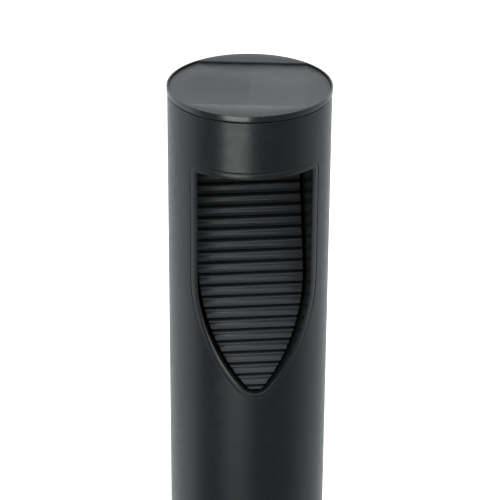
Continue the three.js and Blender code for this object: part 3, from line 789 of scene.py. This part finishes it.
def make_base(skin):
    """The foot: a flange with countersunk ground holes, and the spigot inside the tube."""
    r = BASE_RADIUS
    spigot = TUBE_INNER - GAP
    high = corner("base_flange", 1, 2)
    profile = [(SPIGOT_INNER + 0.5, 0)]
    profile += fillet(r - 0.6, 0.6, 0.6, -90, 0, 4)
    profile += fillet(r - 1.8, BASE_PLATE - 1.8, 1.8, 0, 90, 8)
    profile += [(spigot, BASE_PLATE), (spigot, high - 1), (spigot - 1, high)]
    profile += [(SPIGOT_INNER, high), (SPIGOT_INNER, 0.5)]
    base = turned("base_foot", profile, [skin], sides=192, ring=True)
    for i in range(4):
        a = math.pi / 4 + i * TAU / 4
        bore = GROUND_HOLE_RADIUS
        hole = [(bore, -1), (bore, BASE_PLATE - 0.5), (bore + 0.5, BASE_PLATE), (bore + 1.5, BASE_PLATE + 1)]
        x, y = GROUND_HOLE_PITCH * math.cos(a), GROUND_HOLE_PITCH * math.sin(a)
        cut(base, turned("cutter", hole, [skin], sides=48, x=x, y=y))
    settle(base, "pole", "body_plastic", "base_flange")


def make_side_screws(steel):
    """Domed screws with a cross in the head, through the tube into the spigot."""
    for i in range(3):
        profile = [(0.05, 2.2), (1.2, 2.15), (2.3, 1.85), (3.1, 1.3), (3.5, 0.7), (3.6, 0.15), (3.45, 0)]
        profile += [(1.9, 0), (1.9, -6.6), (0.3, -8.5)]
        screw = turned("side_screw_%d" % (i + 1), profile, [steel], sides=48)
        for turn in (0, 1):
            size = (0.45, 1.7) if turn else (1.7, 0.45)
            x, y = size
            loops = [[(-x, -y, z), (x, -y, z), (x, y, z), (-x, y, z)] for z in (1.0, 3.0)]
            cut(screw, loft("cutter", loops, [steel]))
        angle = math.pi / 2 + i * TAU / 3
        seat = Vector((TUBE_RADIUS + GAP, 0, SIDE_SCREW_HEIGHT)) * MM
        out = Matrix.Rotation(angle, 4, "Z") @ Matrix.Translation(seat)
        screw.matrix_world = out @ Matrix.Rotation(math.pi / 2, 4, "Y")
        settle(screw, "pole", "screw_steel", "base_screw_%d" % (i + 1))


def dress_inner_nodes():
    """The CAD nodes that stay get a worked-up material of their slot's kind."""
    black = plastic("inner_plastic", (0.012, 0.0125, 0.013), (0.018, 0.0185, 0.02), 0.45)
    steel = metal("zinc_steel", (0.62, 0.63, 0.64), 0.34)
    kinds = {
        "body_plastic": black,
        "switch_plastic": black,
        "seal_rubber": plastic("rubber", (0.01, 0.01, 0.01), (0.02, 0.02, 0.02), 0.7, bump=0.03),
        "screw_steel": steel,
        "contact_metal": metal("nickel", (0.7, 0.68, 0.63), 0.2),
        "board_white": plastic("white_board", (0.7, 0.7, 0.66), (0.8, 0.8, 0.77), 0.35),
        "board_green": plastic("green_board", (0.01, 0.08, 0.03), (0.02, 0.12, 0.05), 0.35),
        "diode_phosphor": plastic("phosphor", (0.8, 0.6, 0.12), (0.85, 0.7, 0.2), 0.4),
        "cell_wrap": plastic("cell_sleeve", (0.02, 0.1, 0.2), (0.03, 0.13, 0.26), 0.3),
        "lead_plastic": plastic("lead_insulation", (0.2, 0.01, 0.01), (0.28, 0.02, 0.02), 0.5),
    }
    slots = {s["node"]: s["material_slot"] for s in frame["record"]["subparts"]}
    for name, obj in frame["nodes"].items():
        if slots.get(name) in kinds and obj.material_slots:
            obj.material_slots[0].material = kinds[slots[name]]


# ---- Stage ----
def add_floor():
    made, nt, shader = material("paper", 0.1)
    cloud = noise(nt, 3, 2)
    colour = blended(nt, cloud.outputs["Fac"], (0.93, 0.93, 0.93), (0.96, 0.96, 0.96))
    nt.links.new(colour, shader.inputs["Base Color"])
    shader.inputs["Roughness"].default_value = 0.9
    shader.inputs["Emission Color"].default_value = (1, 1, 1, 1)
    shader.inputs["Emission Strength"].default_value = 0.5
    mesh = bpy.data.meshes.new("floor")
    half, near, far, level = 5.0, -1.0, 7.0, -0.0003
    corners = [(-half, near, level), (half, near, level), (half, far, level), (-half, far, level)]
    mesh.from_pydata(corners, [], [(0, 1, 2, 3)])
    mesh.materials.append(made)
    floor = bpy.data.objects.new("floor", mesh)
    floor.visible_glossy = False
    floor.visible_diffuse = False
    floor.visible_shadow = False
    bpy.context.scene.collection.objects.link(floor)


add_camera()
add_world()
add_lights()
add_floor()

SATIN_DARK = (0.0105, 0.0118, 0.0132)
SATIN_LIGHT = (0.0138, 0.0152, 0.0168)
skin_plastic = plastic("satin_black", SATIN_DARK, SATIN_LIGHT, 0.3, 0.04)
rim_plastic = plastic("rim_black", SATIN_DARK, SATIN_LIGHT, 0.2, 0.04, specular=0.85)
cap_plastic = plastic("cap_black", SATIN_DARK, SATIN_LIGHT, 0.26, 0.04, specular=0.38)
band_plastic = plastic("band_black", (0.013, 0.0142, 0.0155), (0.0165, 0.0178, 0.019), 0.27)
slat_plastic = plastic("slat_black", (0.03, 0.0315, 0.034), (0.038, 0.0395, 0.042), 0.36)
# Painted shade: the recess walls behind the band get a near-black, weakly reflecting copy of the black
# plastic, standing in for the shade inside the window's recess.
shaded_recess_plastic = plastic(
    "shaded_recess_black",
    (0.002, 0.002, 0.0025),
    (0.003, 0.003, 0.0035),
    0.2,
    0.04,
    bump=0.004,
    specular=0.16,
)

make_tube(skin_plastic)
make_bezel(band_plastic, shaded_recess_plastic)
make_louvre(slat_plastic)
make_cap(rim_plastic, cap_plastic)
make_panel(solar_film())
make_lens(frosted())
make_base(skin_plastic)
make_side_screws(metal("screw_zinc", (0.6, 0.61, 0.62), 0.32))
dress_inner_nodes()

bpy.context.scene.view_settings.view_transform = "Standard"
